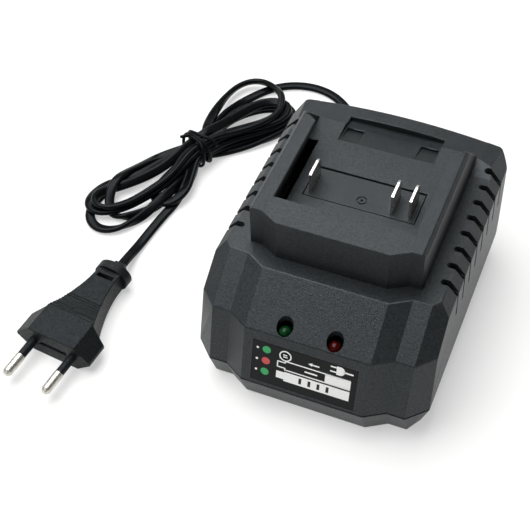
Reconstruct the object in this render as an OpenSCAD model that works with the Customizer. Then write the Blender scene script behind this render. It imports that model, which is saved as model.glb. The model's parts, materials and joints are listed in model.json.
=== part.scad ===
// Battery charger for slide-on power tool packs: a two-part case with a rail
// cradle on top, three blade contacts, two status lamps, side vents and a
// mains lead with a flat two-pin plug, tied in a hank beside the case.
// Millimetres, +Z up. The origin is on the table under the middle of the case
// and the lamps face -Y.

/* [Case] */
// Width of the case at the parting line
case_w = 93.8; // [90:0.2:100]
// Length of the case at the parting line
case_l = 120; // [116:0.5:128]
// Height of the parting line above the table
part_z = 15.3; // [13:0.1:18]
// Height of the vented side decks
deck_z = 54; // [50:0.5:58]
// Height of the cradle floor, which the battery slides over
floor_z = 59; // [57.5:0.5:61]
// Height of the rail tops
rail_z = 72.5; // [70:0.5:76]
// Wall thickness of both shells
wall = 2.2; // [1.8:0.1:2.8]
// Gap left as a shadow line between the shells
part_gap = 0.4; // [0.2:0.1:0.8]
// Radius of the rear corners
rear_r = 13; // [8:0.5:16]
// Draft of the side walls
side_draft = 1.5; // [0.5:0.25:3]
// Draft of the rear wall
rear_draft = 3; // [1:0.25:4]

/* [Front panels] */
// Slope of the lower front, up from level
label_slope = 76.2; // [70:0.1:82]
// Slope of the lamp panel, up from level
lamp_slope = 36.8; // [32:0.1:42]
// Height of the crease between label and lamp panels
crease_z = 40.1; // [37:0.1:43]
// Half width of the proud middle panel
mid_hw = 24.5; // [20:0.5:28]
// How far the side panels stand back from the middle one
step_back = 4.8; // [2:0.2:7]
// Distance between the two status lamps
lamp_pitch = 19.5; // [15:0.5:26]
// Diameter of a lamp window, which is drawn straight up
lamp_d = 6.4; // [5.6:0.2:7]
// Lamp distance up the slope from the crease
lamp_up = 4.5; // [4.3:0.1:8]
// Width of the sunk label
label_w = 41.4; // [30:0.2:44]
// Height of the sunk label along the slope
label_h = 19.6; // [14:0.2:21]

/* [Cradle] */
// Outer width across the two rails
cradle_w = 68.2; // [64:0.2:72]
// Clear width between the rail lips
lip_gap = 54.4; // [50:0.2:58]
// Clear width under the rail lips
groove_w = 63; // [60:0.2:66]
// Thickness of a rail lip
lip_t = 3.2; // [2.4:0.1:4]
// Y of the cradle's front face
cradle_y = -29; // [-31:0.5:-26]
// Y of the stop face that the battery meets
stop_y = -16.5; // [-18:0.5:-14]
// Y where the rail tops end
rail_end = 31; // [26:0.5:35]
// Length of a contact blade
blade_l = 10.8; // [9:0.2:12]
// Height of a contact blade above the floor
blade_h = 9.5; // [7:0.5:10]
// Thickness of a contact blade
blade_t = 0.9; // [0.6:0.1:1.2]

/* [Vents] */
// Number of vents on each side
vent_n = 8; // [4:1:8]
// Distance between vents
vent_pitch = 8.6; // [8:0.1:9]
// Width of a vent
vent_w = 2.6; // [1.2:0.1:3]
// Width of a vent down the side wall
vent_slit = 1.5; // [1:0.1:3]
// Y of the first vent
vent_y = -18.4; // [-20:0.1:-17]
// Lowest point of a vent on the side wall
vent_z = 37.4; // [30:0.1:42]

/* [Mains lead] */
// Width of the flat cord
cord_w = 4.4; // [4:0.1:5.4]
// Thickness of the flat cord
cord_t = 2.6; // [2.4:0.1:3.4]
// Width of the plug body
plug_w = 35.3; // [34:0.1:36]
// Height of the plug body
plug_h = 13.7; // [13:0.1:14]
// Distance between the pins
pin_pitch = 18.6; // [17.5:0.1:19]
// Pin diameter
pin_d = 4; // [3.9:0.02:4.1]
// Pin length
pin_l = 19; // [18.5:0.5:19.5]

/* [Hidden] */

$fn = 64;
eps = 0.01;
hw = case_w / 2;
front_y = -case_l / 2;
rear_y = case_l / 2;
foot_z = 1.2;                   // the base stands this far off the table
mid_step_hw = mid_hw + 7.8;     // where the middle panel's flanks end
side_hw = hw - 7.3;             // where the front corners start to turn back
corner_back = step_back + 7.4;  // set-back of the case's front corners
vent_x = 38.8 + vent_w / 2;     // middle of the vents' round inner ends
edge_x = 4.7;                   // width of the chamfer along the side decks
edge_slope = 129;               // direction of that chamfer
crease_y = front_y + (crease_z - part_z) / tan(label_slope);
lamp_len = (deck_z - crease_z) / sin(lamp_slope);
shoulder_y = crease_y + lamp_len * cos(lamp_slope);
label_len = (crease_z - part_z) / sin(label_slope);
lamp_y = crease_y + lamp_up * cos(lamp_slope);
lamp_h = 8.6;                   // height of a lamp without its legs
lamp_z = crease_z + lamp_up * sin(lamp_slope) - 1.1 - lamp_h;
stake_at = [[16, -45], [-16, -45]];
label_sink = 0.4;
base_in = [3.6, 5];             // how far the base draws in at the table, X and Y
crown_r = 267;                  // the rear deck is crowned to this radius
crown_y = 39;                   // the crown's height is set at this Y
crown_z = floor_z + 0.4;
crown_fall = 6.8;               // the crown falls towards the rear by this angle
ramp_y = 38;                    // the side decks start to rise to the crown here
board_z = 8;
board_t = 1.6;
board_top = board_z + board_t;
boss_at = [[38.2, -38], [-38.2, -38], [37.6, 47], [-37.6, 47]];
peg_at = [[29, -40], [-29, -40], [29, 46], [-29, 46]];
foot_at = [[33, -31.5], [-33, -31.5], [34, 37.5], [-34, 37.5]];
block_at = [0, 8.95];           // middle of the contact block
block_size = [45, 17];
contact_x = [-20, 12.7, 19.8];
contact_y = 7.9;
gland_x = -10;
gland_y = rear_y + 22;          // the boot's outer end
grey = [0.23, 0.24, 0.26];
black = [0.07, 0.07, 0.08];

// ------------------------------------------------------------ side outline

// A straight edge through p in direction a, moved inwards (to its left) by t
function edge(p, a, t) = [p + t * [-sin(a), cos(a)], a];

// The point where two edges meet
function meet(e, f) =
    let (d = cos(e[1]) * sin(f[1]) - sin(e[1]) * cos(f[1]),
         g = f[0] - e[0],
         k = (g[0] * sin(f[1]) - g[1] * cos(f[1])) / d)
    e[0] + k * [cos(e[1]), sin(e[1])];

// Side view of the upper shell, set back by s at the front, walls moved in by t
function side_view(s, t, z0) =
    let (base = edge([0, z0], 0, 0),
         rear = edge([rear_y, part_z], 90 + rear_draft, t),
         top = edge([0, deck_z], 180, t),
         lamps = edge([crease_y + s, crease_z], 180 + lamp_slope, t),
         label = edge([crease_y + s, crease_z], 180 + label_slope, t))
    [meet(base, rear), meet(rear, top), meet(top, lamps), meet(lamps, label), meet(label, base)];

// Half of the cross-section, with drafted side and chamfered deck edge
function half_section(t, z0) =
    let (base = edge([0, z0], 0, 0),
         side = edge([hw, part_z], 90 + side_draft, t),
         bevel = edge([hw - edge_x, deck_z], edge_slope, t),
         top = edge([0, rail_z], 180, 0))
    [meet(base, side), meet(side, bevel), meet(bevel, top)];

function mirrored(pts) = concat(pts, [for (i = [len(pts) - 1:-1:0]) [-pts[i][0], pts[i][1]]]);

module along_x(w) { rotate([90, 0, 90]) linear_extrude(w, center = true) children(); }

module side_slab(w, s, t, z0) { along_x(2 * w) polygon(side_view(s, t, z0)); }

// Rear corners are round in plan, the front is shaped by the panels
module plan(t) {
    r = rear_r - t;
    for (m = [-1, 1]) translate([m * (hw - rear_r), rear_y - rear_r]) circle(r);
    translate([-(hw - t), front_y - 1]) square([2 * (hw - t), case_l + 1 - rear_r]);
    translate([-(hw - rear_r), 0]) square([2 * (hw - rear_r), rear_y - t]);
}

// The upper shell as a solid whose walls are moved in by t, from z0 up
module upper_form(t, z0) {
    intersection() {
        union() {
            hull() {
                side_slab(mid_hw - t / 3, 0, t, z0);
                side_slab(mid_step_hw - t / 3, step_back, t, z0);
            }
            hull() {
                side_slab(side_hw - t / 3, step_back, t, z0);
                side_slab(hw - t, corner_back + t / 3, t, z0);
            }
        }
        translate([0, rear_y + 1, 0]) rotate([90, 0, 0]) linear_extrude(case_l + 4)
            polygon(mirrored(half_section(t, z0)));
        translate([0, 0, z0 - 1]) linear_extrude(rail_z) plan(t);
    }
}

// ------------------------------------------------------------ cradle

// Plan outline of the cradle, which repeats the stepped front of the case
function cradle_outline(y_end) =
    let (h = cradle_w / 2)
    [[-h, y_end], [-h, cradle_y + 6.8], [-h + 0.6, cradle_y + 4.1], [-28.8, cradle_y + 4],
     [-21.6, cradle_y], [21.6, cradle_y], [28.8, cradle_y + 4], [h - 0.6, cradle_y + 4.1],
     [h, cradle_y + 6.8], [h, y_end]];

// Rails and front bar, whose rear ends run down at 45 degrees
module cradle_block() {
    drop = rail_z - deck_z;
    c = 1.5;
    h = cradle_w / 2;
    intersection() {
        translate([0, 0, deck_z - 3]) linear_extrude(rail_z) polygon(cradle_outline(rear_y));
        along_x(case_w) polygon([[cradle_y - 1, deck_z - 3], [rail_end + drop + 3, deck_z - 3],
            [rail_end, rail_z], [cradle_y - 1, rail_z]]);
        translate([0, rear_y, 0]) rotate([90, 0, 0]) linear_extrude(case_l)
            polygon(mirrored([[h, deck_z - 3], [h, rail_z - c], [h - c, rail_z]]));
    }
}

// Crowned rear deck, which reaches forward between the rails and rises from the side decks
module rear_deck() {
    intersection() {
        translate([0, crown_y, crown_z]) rotate([-crown_fall, 0, 0]) translate([0, 0, -crown_r])
            rotate([90, 0, 0]) cylinder(r = crown_r, h = case_l, center = true, $fn = 720);
        union() {
            along_x(cradle_w) polygon([[rail_end - 2, deck_z - 3], [rail_end - 2, floor_z],
                [crown_y + 3, floor_z + 3], [rear_y, floor_z + 3], [rear_y, deck_z - 3]]);
            along_x(case_w) polygon([[ramp_y, deck_z - 3], [ramp_y, deck_z - 0.05],
                [ramp_y + 14, deck_z + 4], [rear_y, deck_z + 4], [rear_y, deck_z - 3]]);
        }
        upper_rear();
    }
}

// The volume inside the drafted rear wall, the chamfered sides and the round rear corners
module upper_rear() {
    lean = tan(rear_draft);
    intersection() {
        along_x(case_w) polygon([[0, part_z], [rear_y, part_z],
            [rear_y - lean * (rail_z - part_z), rail_z], [0, rail_z]]);
        translate([0, rear_y + 1, 0]) rotate([90, 0, 0]) linear_extrude(case_l)
            polygon(mirrored(half_section(0, part_z)));
        linear_extrude(rail_z) plan(0);
    }
}

// The space a battery slides into, with grooves under the rail lips
module cradle_bay() {
    len_y = rear_y - stop_y;
    translate([-lip_gap / 2, stop_y, floor_z]) cube([lip_gap, len_y, rail_z]);
    translate([-groove_w / 2, stop_y, floor_z]) cube([groove_w, len_y, rail_z - lip_t - floor_z]);
    for (m = [-1, 1]) scale([m, 1, 1]) lip_corner();
}

// The rear inner corner of each lip is cut off so that a pack finds its way in
module lip_corner() {
    x = lip_gap / 2;
    translate([0, 0, floor_z]) linear_extrude(rail_z)
        polygon([[x - 1, rail_end - 3.4], [x, rail_end - 3.4], [x + 4, rail_end - 0.5],
            [x + 4, rail_end + 30], [x - 1, rail_end + 30]]);
}

// Openings below the lips, left by the mould cores that form the grooves
module lip_windows() {
    for (m = [-1, 1]) translate([m * (lip_gap / 2 + 2.05), 9.3, floor_z - 3])
        cube([4.1, 42.6, 10], center = true);
}

// Wedge-shaped latch pocket with two square notches
module latch_pocket() {
    w = 39.8;
    y0 = 33.5;
    y1 = 50.4;
    notch_y = 44.4;
    along_x(w) polygon([[y0, floor_z + 0.05], [y1, floor_z - 3.6], [y1, floor_z + 3], [y0, floor_z + 3]]);
    for (m = [-1, 1]) translate([m * 15.6, 0, 0]) along_x(7.2)
        polygon([[y0 + 1.5, floor_z - 0.4], [notch_y, floor_z - 3.5],
            [notch_y, floor_z + 1], [y0 + 1.5, floor_z + 1]]);
}

// Small gate mark on top of the left rail
module gate_mark() { translate([-31, 30.2, rail_z]) cube([1.4, 0.9, 1], center = true); }

// Vents, wide over the deck and its chamfer and narrow down the side wall
module vents() {
    shoulder = half_section(0, part_z)[1][1];
    reach = 12;
    tall = 24;
    for (i = [0:vent_n - 1]) for (m = [-1, 1])
        translate([m * vent_x, vent_y + i * vent_pitch, 0]) {
            translate([0, 0, shoulder]) cylinder(d = vent_w, h = tall, $fn = 24);
            translate([m * reach / 2, 0, shoulder + tall / 2]) cube([reach, vent_w, tall], center = true);
            translate([m * reach / 2, 0, vent_z + tall / 2]) cube([reach, vent_slit, tall], center = true);
        }
}

// Moves children on to the label panel: origin at the parting line, +Y up it
module on_label_panel() {
    translate([0, front_y, part_z]) rotate([label_slope, 0, 0]) children();
}

// ------------------------------------------------------------ shells

module upper_shell() color(grey) {
    difference() {
        union() {
            difference() {
                union() {
                    upper_form(0, part_z + part_gap / 2);
                    cradle_block();
                    rear_deck();
                }
                upper_form(wall, part_z - 1);
                // hollow below the cradle floor and inside the front bar
                translate([0, 3.5, 50]) cube([61, 54, 2 * (floor_z - 2.5 - 50)], center = true);
                translate([0, -22.8, 50]) cube([40, 7.6, 2 * (rail_z - 2.5 - 50)], center = true);
            }
            // screw posts reach down from the roof
            intersection() {
                for (p = boss_at) translate([p[0], p[1], part_z + 0.6]) cylinder(d = 7.6, h = 50);
                side_slab(hw, step_back + 2.4, wall / 2, part_z);
            }
            // pegs that the lamp board is staked to
            intersection() {
                for (p = stake_at) translate([p[0], p[1], lamp_z]) cylinder(d = 4.4, h = 20);
                side_slab(mid_hw, 0, wall / 2, part_z);
            }
            for (p = stake_at) translate([p[0], p[1], lamp_z - 2.4]) cylinder(d = 1.8, h = 3, $fn = 24);
            // frame that holds the contact block up against the floor
            translate([block_at[0], block_at[1], floor_z - 8]) difference() {
                cube([block_size[0] + 8.4, block_size[1] + 8.4, 12], center = true);
                cube([block_size[0] + 5, block_size[1] + 5, 14], center = true);
            }
        }
        cradle_bay();
        lip_windows();
        latch_pocket();
        gate_mark();
        vents();
        translate([block_at[0], block_at[1], floor_z]) cube([block_size[0], block_size[1], 30], center = true);
        for (m = [-1, 1]) translate([m * lamp_pitch / 2, lamp_y, lamp_z - 2]) cylinder(d = lamp_d, h = 20);
        on_label_panel() translate([0, 1.6 + label_h / 2, 0])
            cube([label_w, label_h, 2 * label_sink], center = true);
        for (p = boss_at) translate([p[0], p[1], part_z]) cylinder(d = 2.6, h = 18);
        translate([gland_x, rear_y + 5, part_z]) rotate([90, 0, 0]) cylinder(d = 9, h = 12);
    }
}

// Half outline of the case at the parting line, drawn in by d at the sides and front
function rim(d, k) =
    let (r = rear_r - min(d[0], d[1]), cx = hw - d[0] - r, cy = rear_y - d[1] - r)
    concat([[mid_hw - k, front_y + d[1]], [mid_step_hw - k, front_y + step_back + d[1]],
        [side_hw - k, front_y + step_back + d[1]], [hw - d[0], front_y + corner_back + d[1] * 0.75]],
        [for (a = [0:9:90]) [cx + r * cos(a), cy + r * sin(a)]]);

function body_rim(d, k) = let (p = rim(d, k)) mirrored([for (i = [2:len(p) - 1]) p[i]]);
function mid_rim(d, k) = let (p = rim(d, k)) mirrored([p[0], p[1], [p[1][0], 0]]);

// The base, drawn in towards the table, with its walls moved in by t
module base_form(t, z0, z1) {
    low = [base_in[0] + t, base_in[1] + t];
    high = [t, t];
    for (part = [0, 1]) hull() {
        translate([0, 0, z0]) linear_extrude(eps)
            polygon(part == 0 ? body_rim(low, t / 3) : mid_rim(low, t / 3));
        translate([0, 0, z1 - eps]) linear_extrude(eps)
            polygon(part == 0 ? body_rim(high, t / 3) : mid_rim(high, t / 3));
    }
}

module rim_shape(t) {
    polygon(body_rim([t, t], t / 3));
    polygon(mid_rim([t, t], t / 3));
}

module lower_shell() color(grey) {
    top = part_z - part_gap / 2;
    difference() {
        union() {
            difference() {
                base_form(0, foot_z, top);
                base_form(wall, foot_z + wall, top + 1);
            }
            // tongue that locates the upper shell
            translate([0, 0, top - 3]) linear_extrude(6) difference() {
                rim_shape(wall + 0.25);
                rim_shape(wall + 1.55);
            }
            for (p = boss_at) translate([p[0], p[1], foot_z + 0.5]) cylinder(d = 9, h = top - foot_z);
            for (p = peg_at) translate([p[0], p[1], foot_z + 1]) cylinder(d = 6, h = board_z - foot_z - 1);
            // saddle under the cord clamp
            translate([gland_x, 50.5, foot_z + 1]) translate([-9, -3, 0])
                cube([18, 6, part_z - cord_t / 2 - foot_z - 1]);
        }
        for (p = boss_at) translate([p[0], p[1], 0]) {
            cylinder(d = 3.4, h = 30);
            cylinder(d = 6.6, h = 9);
            translate([0, 0, top + 0.6]) cylinder(d = 9.4, h = 10);
        }
        for (p = peg_at) translate([p[0], p[1], foot_z + 2]) cylinder(d = 1.8, h = 10);
        for (p = foot_at) translate([p[0], p[1], 0]) cylinder(d = 9.2, h = foot_z + 0.8);
        // air inlets in the floor
        for (i = [-4:4]) for (m = [-1, 1]) translate([m * 13, 5 + i * 5, 0]) cube([18, 2, 12], center = true);
        for (x = [-6, 6]) translate([gland_x + x, 50.5, 4]) cylinder(d = 1.8, h = 20);
        translate([gland_x, rear_y + 5, part_z]) rotate([90, 0, 0]) cylinder(d = 9, h = 12);
        translate([gland_x, rear_y - wall - 0.1, part_z]) rotate([90, 0, 0]) cylinder(d = 13.4, h = 3.2);
    }
}

module rubber_feet() color(black) {
    for (p = foot_at) translate([p[0], p[1], 0]) {
        cylinder(d1 = 8, d2 = 9, h = 0.8);
        translate([0, 0, 0.8]) cylinder(d = 9, h = foot_z);
    }
}

// Self-tapping screw, head down, tip up, its seat at z = 0
module screw(d, head_d, l) {
    difference() {
        translate([0, 0, -d * 0.7]) cylinder(d = head_d, h = d * 0.7);
        for (a = [0, 90]) rotate(a) cube([head_d * 0.6, 0.6, d * 1.4], center = true);
    }
    cylinder(d = d, h = l - 1);
    translate([0, 0, l - 1]) cylinder(d1 = d, d2 = d * 0.4, h = 1);
}

module case_screws() color("silver") {
    for (p = boss_at) translate([p[0], p[1], 9]) screw(2.6, 5.6, 22);
}

// ------------------------------------------------------------ contacts

module terminal_block() color(grey) {
    translate([block_at[0], block_at[1], 0]) difference() {
        union() {
            translate([0, -0.3, floor_z - 5.2])
                cube([block_size[0] - 0.7, block_size[1] - 1.3, 10], center = true);
            translate([0, 0, floor_z - 6.25]) cube([block_size[0] + 4.4, block_size[1] + 4.4, 7.5], center = true);
        }
        for (x = contact_x) translate([x, contact_y - block_at[1], floor_z]) cube([blade_t, blade_l, 40], center = true);
        translate([0, -3.5, floor_z - 0.7]) difference() {
            cylinder(d = 4.2, h = 3);
            cylinder(d = 3.2, h = 3);
        }
        translate([0, -3.5, floor_z - 1]) cylinder(d = 1.1, h = 3, $fn = 24);
        // the contacts' solder tails come out below
        translate([0, 0, floor_z - 12]) cube([block_size[0] - 6, block_size[1] - 6, 8], center = true);
    }
}

// Blade contact with a rounded rear corner and a narrow tail
module contact(x) {
    r = 3;
    l = blade_l;
    translate([x, contact_y, 0]) rotate([90, 0, 90]) linear_extrude(blade_t, center = true) {
        difference() {
            translate([-l / 2, floor_z - 10]) square([l, blade_h + 10]);
            translate([l / 2 - r, floor_z + blade_h - r]) difference() {
                square(r + 1);
                circle(r);
            }
            translate([-l / 2 - 1, floor_z + blade_h - 0.7]) rotate(20) square([3, 3]);
        }
        translate([-1.6, floor_z - 14]) square([3.2, 5]);
    }
}

module terminal_negative() color("silver") contact(contact_x[0]);
module terminal_sense() color("silver") contact(contact_x[1]);
module terminal_positive() color("silver") contact(contact_x[2]);

// ------------------------------------------------------------ lamps and label

// Upright five millimetre lamp, a little below its window
module lamp(x) {
    translate([x, lamp_y, lamp_z]) {
        cylinder(d = 5.8, h = 1);
        cylinder(d = 5, h = lamp_h - 2.5);
        translate([0, 0, lamp_h - 2.5]) sphere(d = 5, $fn = 48);
        for (s = [-1.27, 1.27]) translate([s, 0, -2.4]) cylinder(d = 0.6, h = 2.6, $fn = 16);
    }
}

module lamp_green() color([0.1, 0.35, 0.15]) lamp(-lamp_pitch / 2);
module lamp_red() color([0.6, 0.08, 0.06]) lamp(lamp_pitch / 2);

module lamp_board() color([0.1, 0.3, 0.15]) {
    difference() {
        translate([-19, -53, lamp_z - board_t]) cube([38, 11, board_t]);
        for (p = stake_at) translate([p[0], p[1], lamp_z - 4]) cylinder(d = 2, h = 6);
        for (m = [-1, 1]) for (s = [-1.27, 1.27])
            translate([m * lamp_pitch / 2 + s, lamp_y, lamp_z - 4]) cylinder(d = 0.9, h = 6, $fn = 16);
    }
}

module status_label() color(black) {
    on_label_panel() translate([0, 1.6 + label_h / 2, -label_sink / 2 - 0.05])
        cube([label_w - 0.3, label_h - 0.3, label_sink - 0.1], center = true);
}

// ------------------------------------------------------------ electronics

module circuit_board() color([0.1, 0.3, 0.15]) {
    difference() {
        translate([-33, -44, board_z]) cube([66, 91, board_t]);
        for (p = peg_at) translate([p[0], p[1], 0]) cylinder(d = 3, h = 30);
        translate([gland_x - 10, 46, 0]) cube([20, 10, 30]);
    }
}

module board_screws() color("silver") {
    for (p = peg_at) translate([p[0], p[1], board_top]) mirror([0, 0, 1]) screw(1.8, 4.6, 6);
}

// E-type ferrite core round the winding
module transformer_core() color([0.16, 0.16, 0.17]) {
    translate([-4, 2, board_top + 3]) difference() {
        translate([-13, -14, 0]) cube([26, 28, 24]);
        translate([-8, -9, -1]) cube([16, 4, 26]);
        translate([-8, 5, -1]) cube([16, 4, 26]);
    }
}

module transformer_winding() color([0.85, 0.7, 0.25]) {
    translate([-4, 2, 0]) difference() {
        union() {
            translate([-7.8, -8.8, board_top]) cube([15.6, 17.6, 27]);
            translate([-12, -13, board_top]) cube([24, 26, 3]);
        }
        translate([-14, -5, board_top + 3]) cube([28, 10, 30]);
    }
}

module noise_choke() color([0.75, 0.42, 0.2]) {
    translate([14, 32, board_top + 9.2]) rotate([90, 0, 20]) rotate_extrude() translate([6.2, 0]) circle(3, $fn = 24);
}

module bulk_capacitor() color([0.12, 0.13, 0.2]) {
    translate([18, -30, board_top]) rotate_extrude() polygon([[0, 0], [8.6, 0], [9, 0.4], [9, 2], [8.6, 2.5],
        [9, 3], [9, 25.4], [8.4, 26], [7, 26], [6.8, 25.7], [0, 25.7]]);
}

module film_capacitor() color([0.75, 0.6, 0.15]) {
    translate([-23.5, 24, board_top]) cube([7.5, 17, 14]);
}

module output_capacitors() color([0.12, 0.13, 0.2]) {
    for (p = [[-20, -26], [-8, -30], [3, -26]]) translate([p[0], p[1], board_top]) rotate_extrude()
        polygon([[0, 0], [4.8, 0], [5, 0.3], [5, 1.5], [4.7, 1.9], [5, 2.3], [5, 19.6], [4.6, 20], [0, 20]]);
}

// Flat plate with short fins standing off its outer face
module heat_sink(x, m) {
    translate([x, 0, board_top]) scale([m, 1, 1]) {
        translate([0, -24, 0]) cube([2, 52, 30]);
        for (i = [0:7]) translate([1.9, -23 + i * 7, 0]) cube([5, 1.2, 30]);
    }
}

module primary_heat_sink() color("gainsboro") heat_sink(25, 1);
module output_heat_sink() color("gainsboro") heat_sink(-25, -1);

// Three-legged power device standing against a heat sink at x, its face towards m
module power_device(x, y, m) {
    translate([x, y, board_top]) scale([-m, 1, 1]) {
        translate([0, -5, 10]) cube([4.4, 10, 9.2]);
        difference() {
            translate([0, -5, 19]) cube([1.3, 10, 6.4]);
            translate([-1, 0, 22.5]) rotate([0, 90, 0]) cylinder(d = 3.6, h = 4, $fn = 32);
        }
        for (s = [-2.54, 0, 2.54]) translate([2, s - 0.4, 0]) cube([0.6, 0.8, 10.2]);
    }
}

module power_transistor() color(black) power_device(25, -8, 1);
module output_rectifier() color(black) power_device(-25, -8, -1);

module bridge_rectifier() color(black) {
    translate([-12, 20, board_top + 2]) cube([3.6, 20, 15]);
    for (i = [0:3]) translate([-10.6, 22 + i * 5.2, board_top]) cube([0.8, 0.8, 2.1]);
}

module fuse() color("silver") {
    translate([-3, 20, board_top + 4.4]) rotate([-90, 0, 0]) {
        cylinder(d = 5, h = 20);
        for (z = [0.5, 14]) translate([-3, -1, z]) difference() {
            cube([6, 5.4, 5.5]);
            translate([0.6, -1, -1]) cube([4.8, 5.8, 8]);
        }
    }
}

module control_chip() color(black) {
    translate([-3, -19, board_top]) {
        cube([9, 4, 1.6]);
        for (i = [0:6]) translate([0.6 + i * 1.2, -1, 0]) cube([0.45, 6, 0.5]);
    }
}

// Round wire along straight legs with rounded bends, from first to last point
module wire(pts, d) {
    for (i = [0:len(pts) - 2]) {
        v = pts[i + 1] - pts[i];
        translate(pts[i]) rotate([0, acos(v[2] / norm(v)), atan2(v[1], v[0])]) cylinder(d = d, h = norm(v), $fn = 16);
    }
    if (len(pts) > 2) for (i = [1:len(pts) - 2]) translate(pts[i]) sphere(d = d * 1.15, $fn = 16);
}

module output_wires() color([0.7, 0.1, 0.1]) {
    for (x = contact_x) wire([[x, contact_y, floor_z - 14], [x, contact_y, 42], [x, -18, 38], [x, -18, 12],
        [x, -18, board_top]], 1.8);
}

module mains_wires() color([0.2, 0.35, 0.7]) {
    for (m = [-1, 1]) wire([[gland_x + m * 1.4, 45.6, part_z], [gland_x + m * 2.6, 43.2, part_z],
        [gland_x + 3 + m * 3, 42.6, 12], [gland_x + 3 + m * 3, 42.6, board_top]], 1.8);
}

// ------------------------------------------------------------ mains lead

module cord_clamp() color(black) {
    translate([gland_x, 50.5, part_z]) difference() {
        union() {
            translate([-9, -3, cord_t / 2]) cube([18, 6, 2.6]);
            for (x = [-6, 6]) translate([x, 0, 0.5]) cube([4, 6, cord_t + 1], center = true);
        }
        for (x = [-6, 6]) translate([x, 0, -3]) cylinder(d = 2.2, h = 12);
        translate([-10, -4, -cord_t / 2 - 2]) cube([20, 8, 2]);
    }
}

module clamp_screws() color("silver") {
    for (x = [-6, 6]) translate([gland_x + x, 50.5, part_z + cord_t / 2 + 2.6]) mirror([0, 0, 1]) screw(1.8, 4, 9);
}

// Moulded boot with a groove that the rear walls close on
module cord_gland() color(black) {
    r = 4.45;
    translate([gland_x, gland_y, part_z]) difference() {
        union() {
            rotate([90, 0, 0]) rotate_extrude() polygon([[0, 0], [3.7, 0], [4.1, 0.6], [5.4, 17.5], [6.6, 18.4],
                [6.6, 21.4], [r, 21.8], [r, 25], [6.2, 25.2], [6.2, 27], [3.4, 28], [0, 28]]);
        }
        // bending slits round the boot
        for (i = [0:4]) for (a = [0, 180]) translate([0, -3 - i * 2.8, 0])
            rotate([0, a + (i % 2) * 90, 0]) translate([0, 0, 5.4]) cube([12, 1.1, 4.4], center = true);
        translate([-cord_w / 2, -40, -cord_t / 2]) cube([cord_w, 50, cord_t]);
    }
}

// Points along the uncoiled stretches, from the case and from the hank
lead_route = [[-10, 45.7, 15.3], [-10, 64, 15.3], [-10, 82, 15.3], [-10.3, 86.8, 14], [-10.9, 90.9, 11.2],
    [-12.1, 94.6, 8.1], [-13.9, 98.1, 5], [-16.8, 101.6, 3], [-20.5, 104.8, 1.8], [-24.6, 107.6, 1.5],
    [-33.5, 112.3, 1.3], [-42.3, 117, 1.3], [-51.2, 121.6, 1.3], [-61.1, 122.8, 1.3], [-70.9, 120.5, 1.3],
    [-75.4, 118.5, 1.3], [-79.6, 115.7, 1.3], [-83.3, 112.3, 1.3]];
plug_route = [[-94.4, 17.6, 1.3], [-95.3, 11.8, 1.3], [-96.1, 6.8, 1.3], [-96.9, 1.9, 1.3], [-97.6, -3.1, 1.4],
    [-98.1, -8, 2.1], [-97.8, -12.7, 3.8], [-97.2, -17.1, 6], [-97.7, -22, 6.85]];

function cat(a, b, c, d, t) = 0.5 * ((2 * b) + (c - a) * t + (2 * a - 5 * b + 4 * c - d) * t * t
    + (3 * b - a - 3 * c + d) * t * t * t);

// Smooth curve through the route's points, n steps to each
function curve(p, n) = concat([for (i = [0:len(p) - 2]) for (k = [0:n - 1])
    cat(p[max(i - 1, 0)], p[i], p[i + 1], p[min(i + 2, len(p) - 1)], k / n)], [p[len(p) - 1]]);

function unit(v) = v / norm(v);

// Flat eight-sided ring across the curve at point i
function ring(c, i) =
    let (f = unit(c[min(i + 1, len(c) - 1)] - c[max(i - 1, 0)]), s = unit(cross(f, [0, 0, 1])), u = cross(s, f))
    [for (a = [22.5:45:360]) c[i] + s * cord_w / 2 * cos(a) / cos(22.5) + u * cord_t / 2 * sin(a) / sin(67.5)];

module flat_cord(route, n) {
    c = curve(route, n);
    m = len(c);
    polyhedron([for (i = [0:m - 1]) each ring(c, i)],
        concat([[for (k = [0:7]) k]],
            [for (i = [0:m - 2]) for (k = [0:7]) [i * 8 + k, i * 8 + 8 + k, i * 8 + 8 + (k + 1) % 8,
                i * 8 + (k + 1) % 8]],
            [[for (k = [7:-1:0]) (m - 1) * 8 + k]]), convexity = 4);
}

module cord_lead() color(black) flat_cord(lead_route, 2);
module cord_plug_lead() color(black) flat_cord(plug_route, 2);

// The folded lead: five turns, drawn together at the waist by the tie. Each outline
// is a closed curve in plan, and each eye is the open ground inside a fold.
hank_mid = [-96, 57];
hank_turn = 62;                 // direction of the hank's long axis in plan
waist_h = 13.4;
waist_r = 6.8;
tie_t = 1.6;
right_lobe = [[-100.4, 58], [-98.6, 68], [-97.4, 79], [-95.2, 90], [-90.6, 98.4], [-83.4, 103.8], [-74.4, 106],
    [-67, 104], [-63, 98.6], [-62.3, 92], [-65.2, 83.6], [-71, 75.4], [-79.4, 67.2], [-86, 61], [-91.2, 53.6]];
right_eye = [[-91.6, 68.4], [-89.2, 77.6], [-84.8, 86.4], [-79, 92.6], [-73.6, 94.8], [-71.6, 91.6],
    [-73.6, 86.6], [-80, 79.4], [-86, 73.4]];
loose_loop = [[-98.4, 68], [-100.5, 79], [-100.5, 91], [-98.8, 102.4], [-94.8, 110.4], [-88.2, 114.6],
    [-80.8, 112.8], [-74, 107], [-70, 100.4], [-78, 84]];
loose_eye = [[-96.2, 93], [-96, 101], [-93.4, 107.4], [-88.4, 111.4], [-85, 110.6], [-88.4, 105.6], [-92.6, 98.4]];
lead_eye = [[-90.6, 98.8], [-87.6, 104], [-83.4, 108.8], [-80.2, 109.6], [-76.4, 106.4], [-83.4, 104]];
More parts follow.
